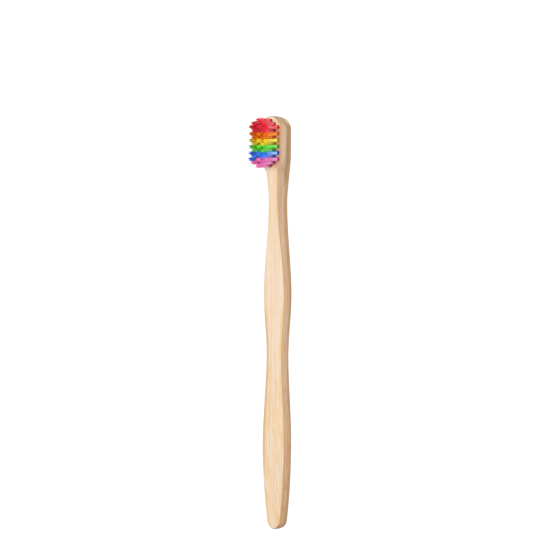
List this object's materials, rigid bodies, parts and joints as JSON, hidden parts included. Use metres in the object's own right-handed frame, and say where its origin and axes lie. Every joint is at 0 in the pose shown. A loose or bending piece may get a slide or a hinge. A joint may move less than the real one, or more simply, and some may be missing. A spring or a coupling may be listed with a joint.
{
  "type": "manual toothbrush",
  "caption": "Manual toothbrush with a one-piece bamboo handle and head, and rainbow-coloured nylon tufts, each held in a blind hole by a flat metal anchor.",
  "frame": {"origin": "under the middle of the brush, halfway along it, on the flat back that it lies on", "axes": "+X along the brush towards the tip of the head, +Y across it, +Z out of its front face, the way the bristles point"},
  "size_m": [0.19, 0.0132, 0.0184],
  "materials": {
    "bamboo": "sanded smooth, satin oil",
    "anchor_brass": "cut from strip, satin",
    "red_nylon": "glossy filament",
    "orange_nylon": "glossy filament",
    "yellow_nylon": "glossy filament",
    "green_nylon": "glossy filament",
    "blue_nylon": "glossy filament",
    "pink_nylon": "glossy filament"
  },
  "bodies": {
    "root": {"handle": "bamboo", "anchors": "anchor_brass", "tuft_01_red": "red_nylon", "tuft_02_red": "red_nylon", "tuft_03_red": "red_nylon", "tuft_04_red": "red_nylon", "tuft_05_red": "red_nylon", "tuft_06_red": "red_nylon", "tuft_07_red": "red_nylon", "tuft_08_red": "red_nylon", "tuft_09_orange": "orange_nylon", "tuft_10_orange": "orange_nylon", "tuft_11_orange": "orange_nylon", "tuft_12_orange": "orange_nylon", "tuft_13_orange": "orange_nylon", "tuft_14_yellow": "yellow_nylon", "tuft_15_yellow": "yellow_nylon", "tuft_16_yellow": "yellow_nylon", "tuft_17_yellow": "yellow_nylon", "tuft_18_yellow": "yellow_nylon", "tuft_19_green": "green_nylon", "tuft_20_green": "green_nylon", "tuft_21_green": "green_nylon", "tuft_22_green": "green_nylon", "tuft_23_green": "green_nylon", "tuft_24_blue": "blue_nylon", "tuft_25_blue": "blue_nylon", "tuft_26_blue": "blue_nylon", "tuft_27_blue": "blue_nylon", "tuft_28_blue": "blue_nylon", "tuft_29_pink": "pink_nylon", "tuft_30_pink": "pink_nylon", "tuft_31_blue": "blue_nylon", "tuft_32_pink": "pink_nylon", "tuft_33_pink": "pink_nylon", "tuft_34_pink": "pink_nylon"}
  },
  "joints": []
}
